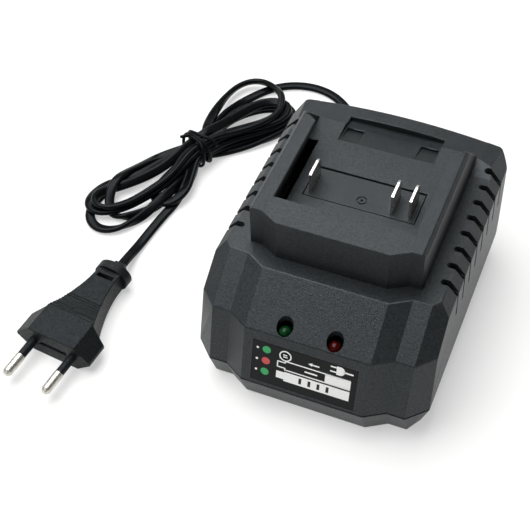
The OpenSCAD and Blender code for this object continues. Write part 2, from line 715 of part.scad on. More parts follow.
left_lobe = [[-103.4, 56.8], [-108, 57.8], [-113.4, 54.8], [-118.8, 48], [-123, 40], [-125.6, 31], [-127.2, 25.4],
    [-131, 20], [-132.2, 14.8], [-130, 9.8], [-125, 7.8], [-117.6, 9], [-111.4, 9.6], [-105.4, 12.4],
    [-100.8, 17.6], [-97.4, 18.6], [-92.6, 21.2], [-90.4, 28.6], [-90.8, 40], [-91.6, 52]];
left_eye = [[-121.4, 21.6], [-120.4, 17], [-117.4, 14.8], [-112.6, 16.2], [-107.2, 21], [-102.8, 28.4],
    [-101, 36], [-101.6, 42], [-105, 37.4], [-110.4, 30.8], [-116, 26]];
back_eye = [[-119.6, 40.6], [-118.2, 45.4], [-114, 50.8], [-109.4, 54], [-107.6, 53], [-111.8, 48.6]];
low_loop = [[-127.4, 9], [-125, 4.2], [-120.4, 1], [-114.8, 0.8], [-108.6, 3.8], [-103.6, 9], [-99.2, 15.4],
    [-104, 20], [-116, 16]];
low_eye = [[-122.8, 7.6], [-120.4, 5.2], [-116.2, 4.8], [-112, 6.8], [-110, 9], [-116, 8.8]];

function closed(p) = let (m = len(p)) [for (i = [0:m - 1]) for (k = [0:2])
    cat(p[(i + m - 1) % m], p[i], p[(i + 1) % m], p[(i + 2) % m], k / 3)];

module fold(h, outline, eyes) {
    linear_extrude(h) difference() {
        polygon(closed(outline));
        for (e = eyes) polygon(closed(e));
    }
}

module at_hank() { translate([hank_mid[0], hank_mid[1], 0]) rotate(hank_turn) children(); }

module cord_hank() color(black) {
    difference() {
        union() {
            fold(10.4, right_lobe, [right_eye]);
            fold(6, loose_loop, [loose_eye, lead_eye, right_eye]);
            fold(8.6, left_lobe, [left_eye, back_eye]);
            fold(4.4, low_loop, [low_eye, left_eye]);
            at_hank() linear_extrude(waist_h) scale([1.7, 1]) circle(waist_r);
        }
        at_hank() cube([7.6, 60, 2 * tie_t], center = true);
    }
}

// Two turns of round tie cord round the waist
module cord_tie() color(black) {
    w = 2 * waist_r + 0.2;
    at_hank() for (x = [-2, 2]) translate([x, 0, 0])
        rotate([90, 0, 90]) linear_extrude(tie_t, center = true) difference() {
            translate([-w / 2 - tie_t, 0]) square([w + 2 * tie_t, waist_h + tie_t]);
            translate([-w / 2, tie_t]) square([w, waist_h - tie_t]);
        }
}

plug_at = [-103, -68.5];
plug_turn = -6.7;               // the pins point towards -Y, a little to -X
sleeve_d = pin_d - 0.4;         // the sleeve is a little thinner than the bare pin
core_d = 3;

// Moves children to the plug: origin mid front face, +Y towards the cord
module at_plug() { translate([plug_at[0], plug_at[1], plug_h / 2]) rotate(plug_turn) children(); }

// Half of the plug's plan: straight cheeks, then a waist that narrows in a curve
function plug_plan() =
    let (h = plug_w / 2)
    concat([[h, 0], [h, 10.5], [11.6, 13.4]],
        [for (k = [1:8]) let (t = k / 8) [5.4 + 6.2 * pow(1 - t, 1.7), 13.4 + 25.6 * t]],
        [[5.4, 44], [3.4, 50], [0, 50], [0, 0]]);

// Side view of the plug: thick head, then a falling back
function plug_side() = [[0, -plug_h / 2], [14, -plug_h / 2], [20, -5.6], [34, -4.8], [44, -4.5], [50, -3],
    [50, 3], [44, 4.5], [34, 4.8], [20, 5.6], [14, plug_h / 2], [0, plug_h / 2]];

// Height of the plug's upper face over its middle plane, behind the head
function plug_face(y) = y < 20 ? plug_h / 2 - (y - 14) * (plug_h / 2 - 5.6) / 6 : 5.6 - (y - 20) * 0.8 / 14;

module plug_body() color(black) at_plug() {
    h = plug_w / 2;
    difference() {
        union() {
            intersection() {
                for (m = [0, 1]) mirror([m, 0, 0]) linear_extrude(plug_h, center = true) polygon(plug_plan());
                along_x(plug_w) polygon(plug_side());
                rotate([-90, 0, 0]) linear_extrude(60) polygon([[-h, 1], [-10.9, plug_h / 2], [10.9, plug_h / 2],
                    [h, 1], [h, -1], [10.9, -plug_h / 2], [-10.9, -plug_h / 2], [-h, -1]]);
            }
            // finger flange
            translate([0, 42, 0]) rotate([-90, 0, 0]) linear_extrude(4) scale([1, 0.83]) circle(7.8);
        }
        // grip grooves across both faces
        for (y = [14.8:1.3:25.2]) for (m = [-1, 1])
            translate([0, y, m * plug_face(y)]) cube([30, 0.5, 0.6], center = true);
        // slot through the neck and a slit in the front face
        translate([0, 38.6, 0]) cube([7.4, 1.8, 20], center = true);
        translate([0, 0, 0]) cube([13, 1.6, 1.8], center = true);
        // the cord and the pins are moulded in
        translate([-cord_w / 2, 44, -cord_t / 2]) cube([cord_w, 10, cord_t]);
        for (m = [-1, 1]) translate([m * pin_pitch / 2, -1, 0]) rotate([-90, 0, 0])
            cylinder(d = sleeve_d, h = 9);
    }
}

module plug_pins() color("silver") at_plug() {
    for (m = [-1, 1]) translate([m * pin_pitch / 2, 8, 0]) rotate([90, 0, 0]) {
        cylinder(d = core_d, h = 18);
        translate([0, 0, 17]) cylinder(d = pin_d, h = pin_l - 10.2);
        translate([0, 0, 17 + pin_l - 10.2]) cylinder(d1 = pin_d, d2 = 2.4, h = 1.2);
    }
}

module plug_sleeves() color(black) at_plug() {
    for (m = [-1, 1]) translate([m * pin_pitch / 2, 8, 0]) rotate([90, 0, 0]) difference() {
        cylinder(d = sleeve_d, h = 17);
        translate([0, 0, -1]) cylinder(d = core_d, h = 30);
    }
}

lower_shell();
upper_shell();
rubber_feet();
case_screws();
terminal_block();
terminal_negative();
terminal_positive();
terminal_sense();
lamp_green();
lamp_red();
lamp_board();
status_label();
circuit_board();
board_screws();
transformer_core();
transformer_winding();
noise_choke();
bulk_capacitor();
film_capacitor();
output_capacitors();
primary_heat_sink();
output_heat_sink();
power_transistor();
output_rectifier();
bridge_rectifier();
fuse();
control_chip();
output_wires();
mains_wires();
cord_clamp();
clamp_screws();
cord_gland();
cord_lead();
cord_hank();
cord_tie();
cord_plug_lead();
plug_body();
plug_pins();
plug_sleeves();
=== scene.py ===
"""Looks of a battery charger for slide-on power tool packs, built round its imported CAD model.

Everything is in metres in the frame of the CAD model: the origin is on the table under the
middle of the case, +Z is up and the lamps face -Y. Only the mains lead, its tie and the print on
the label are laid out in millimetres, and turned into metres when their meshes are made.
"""

import json
import math

import bpy
import numpy as np
from mathutils import Matrix, Vector


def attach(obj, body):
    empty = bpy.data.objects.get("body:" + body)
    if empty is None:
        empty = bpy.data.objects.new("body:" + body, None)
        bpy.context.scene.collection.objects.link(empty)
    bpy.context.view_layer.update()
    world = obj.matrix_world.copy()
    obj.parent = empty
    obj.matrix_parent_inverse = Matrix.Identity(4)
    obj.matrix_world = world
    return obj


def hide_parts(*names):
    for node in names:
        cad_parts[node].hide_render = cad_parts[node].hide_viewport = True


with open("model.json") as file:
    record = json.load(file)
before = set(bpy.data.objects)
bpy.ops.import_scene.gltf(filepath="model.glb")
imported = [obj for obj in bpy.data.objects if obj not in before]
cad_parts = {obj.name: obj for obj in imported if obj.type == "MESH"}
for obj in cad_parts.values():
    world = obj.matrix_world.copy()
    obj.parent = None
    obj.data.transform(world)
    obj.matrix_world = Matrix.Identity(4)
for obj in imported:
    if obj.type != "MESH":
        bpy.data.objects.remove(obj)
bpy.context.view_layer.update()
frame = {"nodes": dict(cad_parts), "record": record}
nodes = frame["nodes"]

MM = 0.001

# The camera, found by fitting the case's edges in the photograph's 530 pixel frame
IMAGE_PX = 530
FOCAL_PX = 1196.12
CAMERA_AT = Vector((0.09165, -0.29991, 0.39004))
CAMERA_AZIMUTH = 23.52
CAMERA_ELEVATION = 49.23
CAMERA_ROLL = -1.92
SENSOR_MM = 36

# Rounded edges of the CAD solids
MERGE_DISTANCE = 0.01 * MM
CREASE_BEND = math.radians(12)   # edges that bend by more stay creases
ROUNDED_BEND = math.radians(28)  # edges that bend outwards by more are rounded
SHORT_EDGE = 1.2 * MM            # shorter edges stay sharp
UPRIGHT_RISE = 0.85              # as do those that rise by this share of their length
VENTS_OUT = 37.5 * MM            # and those beside the vents: this far out from the middle,
VENTS_FROM = -0.022              # and further back than this
EDGE_WIDTHS = {"upper_shell": 0.3, "lower_shell": 0.3, "terminal_block": 0.1,
               "plug_body": 0.35, "cord_gland": 0.2}  # in millimetres

# Plug, as in the CAD model: the middle of its front face and its turn
PLUG_AT = (-0.103, -0.0685, 0.00685)
PLUG_TURN = -6.7
NECK_FROM = 45.9 * MM            # the neck begins this far behind the front face
NECK_REACH = (2.8 * MM, 6.3 * MM)  # the neck's skin lies this far from the plug's axis
NECK_SLIM = (0.72, 0.56)         # what is left of the neck's width and height

# Front panels, as in the CAD model
LABEL_SLOPE = 76.2
PARTING = Vector((0, -0.060, 0.0153))
FILM_DEPTH = 0.0001              # the label film's face lies this far below the panel
INK = 0.03                       # height of the ink above the film, in millimetres

# Mains lead, its tie and its hank, in millimetres
CORD_W = 4.4
CORD_T = 2.6
CORE_OFFSET = (CORD_W - CORD_T) / 2
STEP = 2.0                       # distance between the nodes of the route
SPACING = 1.97                   # and of the settled lead
HELD_NODES = (38, 30)            # nodes that stay in place, down from the boot and up to the plug
TABLE_GAP = 0.05
TIE_D = 1.5

HANK_MID = np.array([-96.0, 57.0])  # the middle of the tie
HANK_TURN = math.radians(62)
HANK_AXIS = np.array([math.cos(HANK_TURN), math.sin(HANK_TURN)])
HANK_SIDE = np.array([-math.sin(HANK_TURN), math.cos(HANK_TURN)])
WAIST_HALF = 5                   # half the length that the tie draws together
BUNDLE_Z = 7.3                   # height of the bundle's middle under the tie
BUNDLE_RADIUS = (8.0, 5.0)       # how wide the bundle is at first, and in the end
TIE_LIFT = 1.6                   # the tie below lifts the strands by this much,
LIFT_ALONG = (4, 13)             # fading out between these distances along the hank
LIFT_ACROSS = (9, 12)            # and across it

# How the lead settles in each step. A share is the part of a difference that is taken away.
ROUTE_SHARE = 0.05               # back towards the route,
FIRST_SHARE = 0.05               # with this much more at first
HEIGHT_SHARE = 0.25              # part of that in height
FALL = 0.03                      # distance down
TURN_SHARE, LOOP_TURN_SHARE = 0.004, 0.2  # of the turn of the wide side, and in the loose loop
UNTWIST_SHARE = 0.35
LENGTH_SHARE, WIDTH_SHARE, SHEAR_SHARE = 0.25, 1.0, 0.15
STIFFNESS = ((3, 0.015), (1, 0.30), (1, -0.31))  # blends with the nodes so far away, by shares
SMOOTHING = ((1, 0.5), (1, -0.515))
PUSH_SHARE = 0.45
SQUEEZE_SHARE = 0.6
SQUEEZE_SPEED = 2.2              # the bundle is at its last radius after one part in this many
SEARCH_EVERY = 8                 # steps between searches for strands that come close
SEARCH_MARGIN = 1.6
NEIGHBOURS = 5                   # nodes that may be close because they follow each other

# How the lead's wide side faces: flat at its ends, on edge in the hank
ON_EDGE = math.radians(68)
FLAT_START, FLAT_END = 131, 75   # lengths at the two ends of the lead that lie flat
EDGE_LENGTH = 60                 # length over which the lead turns on edge
LOOP_LEAN = np.array([0.26, -0.60, 0.76])
LOOP_LENGTH = 24                 # length over which the loose loop starts to lean

# Stage and lights
FLOOR_REACH = 4.0
FLOOR_COLOUR = (0.42, 0.42, 0.415, 1)
FLOOR_GLOW = 0.47                # brings the floor up to white where it is seen or mirrored
SOFTBOX_AT = (-0.42, 0.15, 1.1)
SOFTBOX_SIZE = (1.05, 1.7)
SOFTBOX_WATTS = 34
ROOM_EDGE = (0.18, 0.32)         # the pale backdrop ends between these heights
ROOM_LIGHT = (0.85, 0.10)        # strength of the backdrop, and of the ceiling above it


# ---------------------------------------------------------------- mesh helpers

def piece(name, verts, faces, material, smooth=True):
    """A mesh of the object that rides on the case."""
    mesh = bpy.data.meshes.new(name)
    mesh.from_pydata([tuple(v) for v in verts], [], faces)
    mesh.validate()
    mesh.materials.append(material)
    mesh.polygons.foreach_set("use_smooth", [smooth] * len(mesh.polygons))
    obj = bpy.data.objects.new(name, mesh)
    bpy.context.scene.collection.objects.link(obj)
    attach(obj, "root")
    return obj


def tube_faces(rings, n):
    """Quads along rings of n points, with a cap at each end."""
    faces = [tuple(range(n))[::-1]]
    for i in range(rings - 1):
        for k in range(n):
            j = (k + 1) % n
            faces.append((i * n + k, i * n + j, i * n + n + j, i * n + n + k))
    faces.append(tuple((rings - 1) * n + k for k in range(n)))
    return faces


def unit_rows(v):
    """Each row at length one."""
    return v / np.maximum(np.linalg.norm(v, axis=-1, keepdims=True), 1e-9)


def spline(points, steps):
    """Centripetal Catmull-Rom curve through the points, with so many steps between two."""
    p = np.array(points, float)
    q = np.vstack([2 * p[0] - p[1], p, 2 * p[-1] - p[-2]])
    out = []
    for a, b, c, d in zip(q[:-3], q[1:-2], q[2:-1], q[3:]):
        t1 = np.linalg.norm(b - a) ** 0.5
        t2 = t1 + np.linalg.norm(c - b) ** 0.5
        t3 = t2 + np.linalg.norm(d - c) ** 0.5
        for t in np.linspace(t1, t2, steps, endpoint=False):
            ab = (t1 - t) / t1 * a + t / t1 * b
            bc = (t2 - t) / (t2 - t1) * b + (t - t1) / (t2 - t1) * c
            cd = (t3 - t) / (t3 - t2) * c + (t - t2) / (t3 - t2) * d
            abc = (t2 - t) / t2 * ab + t / t2 * bc
            bcd = (t3 - t) / (t3 - t1) * bc + (t - t1) / (t3 - t1) * cd
            out.append((t2 - t) / (t2 - t1) * abc + (t - t1) / (t2 - t1) * bcd)
    return np.array(out + [p[-1]])


def arc_length(line):
    """Distance of each point from the start, along the line."""
    return np.concatenate([[0], np.cumsum(np.linalg.norm(np.diff(line, axis=0), axis=1))])


def resample(line, step):
    """The line again, with its points evenly spaced."""
    s = arc_length(line)
    at = np.linspace(0, s[-1], int(round(s[-1] / step)) + 1)
    return np.stack([np.interp(at, s, line[:, k]) for k in range(3)], 1)


def round_tube(name, line, radius, sides, material):
    """A round tube along a line in metres, with domed ends."""
    line = np.array(line, float)
    along = unit_rows(np.gradient(line, axis=0))
    side = unit_rows(np.cross(along[0], [0.3, 0.2, 1.0]))
    verts = []
    s = arc_length(line)
    for p, t, at in zip(line, along, s):
        side = unit_rows(side - (side @ t) * t)
        up = np.cross(side, t)
        end = min(at, s[-1] - at) / radius
        r = radius * math.sqrt(max(1 - (1 - min(end, 1)) ** 2, 0.02))
        for k in range(sides):
            a = 2 * math.pi * k / sides
            verts.append(p + r * (math.cos(a) * side + math.sin(a) * up))
    return piece(name, verts, tube_faces(len(line), sides), material)


# ---------------------------------------------------------------- materials

class Look:
    """One node material, built up in layers of noise."""

    def __init__(self, name, roughness, metallic=0.0, **sockets):
        self.material = bpy.data.materials.new(name)
        self.material.use_nodes = True
        self.tree = self.material.node_tree
        self.shader = self.tree.nodes["Principled BSDF"]
        self.shader.inputs["Roughness"].default_value = roughness
        self.shader.inputs["Metallic"].default_value = metallic
        for socket, value in sockets.items():
            self.shader.inputs[socket.replace("_", " ")].default_value = value
        self.last_bump = None

    def node(self, kind, **settings):
        n = self.tree.nodes.new("ShaderNode" + kind)
        for key, value in settings.items():
            setattr(n, key, value)
        return n

    def link(self, a, b):
        self.tree.links.new(a, b)

    def coords(self, stretch=(1, 1, 1), uv=False):
        source = self.node("TexCoord").outputs["UV" if uv else "Object"]
        mapping = self.node("Mapping")
        mapping.inputs["Scale"].default_value = stretch
        self.link(source, mapping.inputs["Vector"])
        return mapping.outputs["Vector"]

    def noise(self, size, detail=2.0, rough=0.5, stretch=(1, 1, 1), uv=False):
        """Noise whose blotches are about size metres across."""
        n = self.node("TexNoise")
        n.inputs["Scale"].default_value = 1 / size
        n.inputs["Detail"].default_value = detail
        n.inputs["Roughness"].default_value = rough
        self.link(self.coords(stretch, uv), n.inputs["Vector"])
        return n.outputs["Fac"]

    def colours(self, fac, *stops):
        """Colour from a noise value: stops are (position, (r, g, b))."""
        ramp = self.node("ValToRGB")
        while len(ramp.color_ramp.elements) < len(stops):
            ramp.color_ramp.elements.new(0.5)
        for element, (at, colour) in zip(ramp.color_ramp.elements, stops):
            element.position = at
            element.color = (*colour, 1)
        self.link(fac, ramp.inputs["Fac"])
        self.link(ramp.outputs["Color"], self.shader.inputs["Base Color"])

    def vary(self, socket, fac, low, high):
        """Spreads the usual values of a noise, 0.3 to 0.7, over those of a socket."""
        spread = self.node("MapRange")
        for end, value in (("From Min", 0.3), ("From Max", 0.7), ("To Min", low), ("To Max", high)):
            spread.inputs[end].default_value = value
        self.link(fac, spread.inputs["Value"])
        self.link(spread.outputs["Result"], self.shader.inputs[socket])

    def roughness(self, fac, low, high):
        self.vary("Roughness", fac, low, high)

    def bump(self, fac, depth, strength=1.0):
        """Adds relief of this depth on top of the bumps made so far."""
        b = self.node("Bump")
        b.inputs["Distance"].default_value = depth
        b.inputs["Strength"].default_value = strength
        self.link(fac, b.inputs["Height"])
        if self.last_bump:
            self.link(self.last_bump, b.inputs["Normal"])
        self.last_bump = b.outputs["Normal"]
        self.link(self.last_bump, self.shader.inputs["Normal"])


COOL = (0.86, 0.95, 1.0, 1.0)    # dark plastic looks slightly blue where it shines


def shade(colour, factor):
    """The colour, darker or lighter by this factor."""
    return tuple(c * factor for c in colour)


def eroded_plastic(name, colour, grain=0.0005, depth=0.00012, roughness=(0.33, 0.46), shine=0.36):
    """Moulded plastic with a spark-eroded texture and a slightly uneven sheen."""
    look = Look(name, 0.5, Specular_Tint=COOL)
    cloud = look.noise(0.012, detail=4, rough=0.6)
    glints = look.noise(grain * 1.6, detail=4, rough=0.75)
    look.colours(cloud, (0.3, shade(colour, 0.86)), (0.7, shade(colour, 1.16)))
    look.roughness(look.noise(0.0008, detail=3, rough=0.6), *roughness)
    look.vary("Specular IOR Level", glints, shine * 0.5, shine * 1.5)
    look.bump(look.noise(0.0024), depth * 0.3, 0.5)
    look.bump(look.noise(grain, detail=3, rough=0.7), depth * 1.25)
    return look.material


def cord_sheath(name, colour, roughness):
    """Extruded sheath: fine drag lines along the cord and small handling marks."""
    look = Look(name, 0.4, Specular_IOR_Level=0.09, Specular_Tint=COOL)
    look.colours(look.noise(0.01, detail=3), (0.3, shade(colour, 0.8)), (0.7, shade(colour, 1.25)))
    look.roughness(look.noise(0.003, detail=3, rough=0.6), *roughness)
    look.bump(look.noise(0.0004, stretch=(0.04, 1, 1), uv=True), 0.00002, 0.5)
    look.bump(look.noise(0.0012), 0.00002, 0.4)
    return look.material


def plain_metal(name, colour, roughness, stretch=(1, 1, 1)):
    """Plated or rolled metal with fine drawn lines and faint stains."""
    look = Look(name, 0.3, metallic=1.0)
    stains = look.noise(0.002, detail=4, rough=0.6)
    look.colours(stains, (0.35, shade(colour, 0.8)), (0.65, colour))
    look.roughness(look.noise(0.001, detail=3, rough=0.6), *roughness)
    look.bump(look.noise(0.0003, stretch=stretch), 0.00001, 0.6)
    return look.material


def tinted_resin(name, colour, deep):
    """Tinted resin of a lamp: glossy, with deeper patches."""
    look = Look(name, 0.06, Specular_IOR_Level=0.13, IOR=1.52)
    look.colours(look.noise(0.002), (0.3, deep), (0.75, colour))
    look.roughness(look.noise(0.0006), 0.04, 0.1)
    look.bump(look.noise(0.0015, detail=1), 0.00002, 0.3)
    return look.material


def gloss_moulding(name, colour, roughness=(0.3, 0.42), shine=0.5):
    """Smooth moulded, dipped or sleeved surface of the inner parts and the label."""
    look = Look(name, 0.35, Specular_IOR_Level=shine)
    cloud = look.noise(0.004, detail=4, rough=0.6)
    look.colours(cloud, (0.3, shade(colour, 0.82)), (0.7, shade(colour, 1.14)))
    look.roughness(look.noise(0.002, detail=3, rough=0.6), *roughness)
    look.bump(look.noise(0.0008, detail=3, rough=0.6), 0.00002, 0.6)
    return look.material


def printed(name, colour):
    """Screen-printed ink, even but for a fine mottle."""
    look = Look(name, 0.5, Specular_IOR_Level=0.3)
    mottle = look.noise(0.0008, detail=3, rough=0.6)
    look.colours(mottle, (0.3, shade(colour, 0.94)), (0.7, shade(colour, 1.02)))
    look.roughness(look.noise(0.001), 0.46, 0.56)
    look.bump(look.noise(0.0005), 0.000005, 0.5)
    return look.material


def make_materials():
    """The materials of the CAD nodes' slots, and of the pieces made here."""
    dark = (0.0092, 0.0107, 0.0118)
    black = (0.0065, 0.0075, 0.0082)
    steel = (0.62, 0.62, 0.63)
    return {
        "case_plastic": eroded_plastic("case_plastic", dark),
        "block_plastic": eroded_plastic("block_plastic", shade(dark, 0.95), 0.00036),
        "foot_rubber": eroded_plastic("foot_rubber", black, 0.0006, 0.00004, (0.7, 0.85)),
        "gland_rubber": eroded_plastic("gland_rubber", black, 0.0005, 0.00003, (0.5, 0.62)),
        "plug_pvc": eroded_plastic("plug_pvc", shade(dark, 0.6), 0.0007, 0.0002, (0.36, 0.5), 0.16),
        "cord_pvc": cord_sheath("cord_pvc", shade(black, 0.5), (0.24, 0.34)),
        "tie_pvc": cord_sheath("tie_pvc", shade(black, 0.5), (0.34, 0.46)),
        "contact_metal": plain_metal("contact_metal", (0.80, 0.78, 0.74), (0.24, 0.36),
                                     (1, 1, 0.05)),
        "pin_metal": plain_metal("pin_metal", (0.62, 0.61, 0.55), (0.34, 0.46), (0.1, 1, 1)),
        "screw_steel": plain_metal("screw_steel", steel, (0.28, 0.4)),
        "sink_aluminium": plain_metal("sink_aluminium", (0.72, 0.73, 0.74), (0.35, 0.5),
                                      (1, 0.05, 1)),
        "fuse_metal": plain_metal("fuse_metal", (0.7, 0.7, 0.7), (0.2, 0.3)),
        "copper_wire": plain_metal("copper_wire", (0.75, 0.32, 0.13), (0.2, 0.32), (1, 1, 0.1)),
        "lamp_green": tinted_resin("lamp_green", (0.003, 0.036, 0.009), (0.0007, 0.009, 0.002)),
        "lamp_red": tinted_resin("lamp_red", (0.062, 0.002, 0.002), (0.015, 0.001, 0.001)),
        "label_film": gloss_moulding("label_film", (0.005, 0.0055, 0.006), (0.4, 0.5), shine=0.15),
        "board_resin": gloss_moulding("board_resin", (0.006, 0.03, 0.012)),
        "ferrite": eroded_plastic("ferrite", (0.045, 0.045, 0.05), 0.0005, 0.00005, (0.5, 0.7)),
        "winding_tape": gloss_moulding("winding_tape", (0.62, 0.42, 0.05)),
        "capacitor_sleeve": gloss_moulding("capacitor_sleeve", (0.012, 0.015, 0.05)),
        "film_box": gloss_moulding("film_box", (0.5, 0.33, 0.04)),
        "device_resin": gloss_moulding("device_resin", (0.015, 0.015, 0.016), (0.5, 0.65)),
        "wire_red": gloss_moulding("wire_red", (0.4, 0.015, 0.012)),
        "wire_blue": gloss_moulding("wire_blue", (0.02, 0.06, 0.35)),
        "print_white": printed("print_white", (0.93, 0.93, 0.92)),
        "print_green": printed("print_green", (0.045, 0.36, 0.12)),
        "print_red": printed("print_red", (0.56, 0.085, 0.085)),
        "print_black": printed("print_black", (0.008, 0.008, 0.009)),
    }


def dress_cad(materials):
    """Gives each CAD node the material of its slot, slims the plug's neck and rounds the edges
    of the outer parts."""
    slot_of = {part["node"]: part["material_slot"] for part in frame["record"]["subparts"]}
    for name, obj in nodes.items():
        obj.data.materials.clear()
        obj.data.materials.append(materials[slot_of[name]])
    creases = crease_group()
    nodes["plug_body"].modifiers.new("slim_neck", "NODES").node_group = slim_neck()
    for name, width in EDGE_WIDTHS.items():
        round_edges(nodes[name], width * MM, creases)


class NodeModifier:
    """A geometry nodes tree for a modifier, built up node by node."""

    def __init__(self, name):
        self.tree = bpy.data.node_groups.new(name, "GeometryNodeTree")
        for way in ("INPUT", "OUTPUT"):
            self.tree.interface.new_socket("Geometry", in_out=way, socket_type="NodeSocketGeometry")
        self.geometry = self.tree.nodes.new("NodeGroupInput").outputs[0]

    def node(self, kind, inputs=None, **settings):
        """Adds a node; inputs maps its sockets' names or numbers to values or other sockets."""
        n = self.tree.nodes.new(kind)
        for key, value in settings.items():
            setattr(n, key, value)
        for socket, value in (inputs or {}).items():
            if isinstance(value, bpy.types.NodeSocket):
                self.tree.links.new(value, n.inputs[socket])
            else:
                n.inputs[socket].default_value = value
        return n.outputs

    def maths(self, operation, a, b):
        return self.node("ShaderNodeMath", {0: a, 1: b}, operation=operation)[0]

    def vector(self, operation, a, b, out="Vector"):
        return self.node("ShaderNodeVectorMath", {0: a, 1: b}, operation=operation)[out]

    def parts(self, vector):
        """The X, Y and Z of a vector."""
        return self.node("ShaderNodeSeparateXYZ", {0: vector})

    def all_of(self, first, *others):
        """One where every test is one, otherwise zero."""
        for other in others:
            first = self.maths("MULTIPLY", first, other)
        return first

    def finish(self):
        self.node("NodeGroupOutput", {0: self.geometry})
        return self.tree


def crease_group():
    """Joins a part's faces, smooth but for its creases, and marks the creases to round: long
    ones that bend outwards, but neither the upright ones nor those beside the vents."""
    g = NodeModifier("creases")
    g.geometry = g.node("GeometryNodeMergeByDistance",
                        {"Geometry": g.geometry, "Distance": MERGE_DISTANCE})[0]
    bend = g.node("GeometryNodeInputMeshEdgeAngle")
    crease = g.node("FunctionNodeCompare", {"A": bend["Unsigned Angle"], "B": CREASE_BEND},
                    operation="GREATER_THAN")["Result"]
    g.geometry = g.node("GeometryNodeSetMeshNormal",
                        {"Mesh": g.geometry, "Edge Sharpness": crease})[0]
    ends = g.node("GeometryNodeInputMeshEdgeVertices")
    start, end = ends["Position 1"], ends["Position 2"]
    length = g.vector("DISTANCE", start, end, "Value")
    rise = g.maths("ABSOLUTE", g.parts(g.vector("SUBTRACT", start, end))["Z"], 0.0)
    place = g.parts(g.node("GeometryNodeInputPosition")[0])
    beside_vents = g.all_of(
        g.maths("GREATER_THAN", g.maths("ABSOLUTE", place["X"], 0.0), VENTS_OUT),
        g.maths("GREATER_THAN", place["Y"], VENTS_FROM))
    rounded = g.all_of(
        g.maths("GREATER_THAN", bend["Signed Angle"], ROUNDED_BEND),
        g.maths("GREATER_THAN", length, SHORT_EDGE),
        g.maths("LESS_THAN", rise, g.maths("MULTIPLY", length, UPRIGHT_RISE)),
        g.maths("SUBTRACT", 1.0, beside_vents))
    g.geometry = g.node("GeometryNodeStoreNamedAttribute",
                        {"Geometry": g.geometry, "Name": "bevel_weight_edge", "Value": rounded},
                        data_type="FLOAT", domain="EDGE")[0]
    return g.finish()


def slim_neck():
    """Draws the plug's neck in behind the finger flange, down to the cord."""
    g = NodeModifier("slim_neck")

    def turned(vector, angle):
        return g.node("ShaderNodeVectorRotate", {"Vector": vector, "Angle": math.radians(angle)},
                      rotation_type="Z_AXIS")[0]

    place = g.node("GeometryNodeInputPosition")[0]
    x, y, z = g.parts(turned(g.vector("SUBTRACT", place, PLUG_AT), -PLUG_TURN))
    squares = g.maths("ADD", g.maths("MULTIPLY", x, x), g.maths("MULTIPLY", z, z))
    reach = g.maths("SQRT", squares, 0.0)
    neck = g.all_of(g.maths("GREATER_THAN", y, NECK_FROM),
                    g.maths("GREATER_THAN", reach, NECK_REACH[0]),
                    g.maths("LESS_THAN", reach, NECK_REACH[1]))
    slim = g.node("ShaderNodeCombineXYZ", {"X": g.maths("MULTIPLY", x, NECK_SLIM[0]), "Y": y,
                                           "Z": g.maths("MULTIPLY", z, NECK_SLIM[1])})[0]
    place = g.vector("ADD", turned(slim, PLUG_TURN), PLUG_AT)
    g.geometry = g.node("GeometryNodeSetPosition",
                        {"Geometry": g.geometry, "Selection": neck, "Position": place})[0]
    return g.finish()


def round_edges(obj, width, creases):
    """Rounds the marked creases of a part, with its flat faces still shaded flat."""
    obj.modifiers.new("creases", "NODES").node_group = creases
    bevel = obj.modifiers.new("bevel", "BEVEL")
    bevel.width = width
    bevel.segments = 2
    bevel.limit_method = "WEIGHT"
    bevel.use_clamp_overlap = False
    weights = obj.modifiers.new("panels", "WEIGHTED_NORMAL")
    weights.keep_sharp = True
    weights.weight = 100


# ---------------------------------------------------------------- mains lead

def at_hank(along, across, height):
    """A point given by its distances along and across the hank from the middle of the tie."""
    x, y = HANK_MID + HANK_AXIS * along + HANK_SIDE * across
    return np.array([x, y, height])


def waist(height, across):
    """Three points through the tie, from the right of the hank to its left."""
    return [at_hank(along, across, height) for along in (WAIST_HALF, 0, -WAIST_HALF)]


# The lead's route, given point by point: from the boot over the table to the hank
LEAD = [
    (-10, 46, 15.3), (-10, 58, 15.3), (-10, 70, 15.3), (-10, 82, 15.3), (-10.3, 87, 14),
    (-11.5, 93, 9.5), (-14.5, 98, 4.4), (-19.5, 101.8, 2), (-26, 104, 1.4), (-33, 106, 1.4),
    (-39.4, 110.4, 1.4), (-45, 116.4, 1.4), (-52.4, 121.1, 1.4), (-61, 123, 1.4), (-69.7, 122, 1.4),
    (-77.6, 118.4, 1.4), (-85, 111.4, 2.2), (-90.3, 102, 3.2), (-94.4, 91.7, 4), (-96.8, 80.5, 5),
]

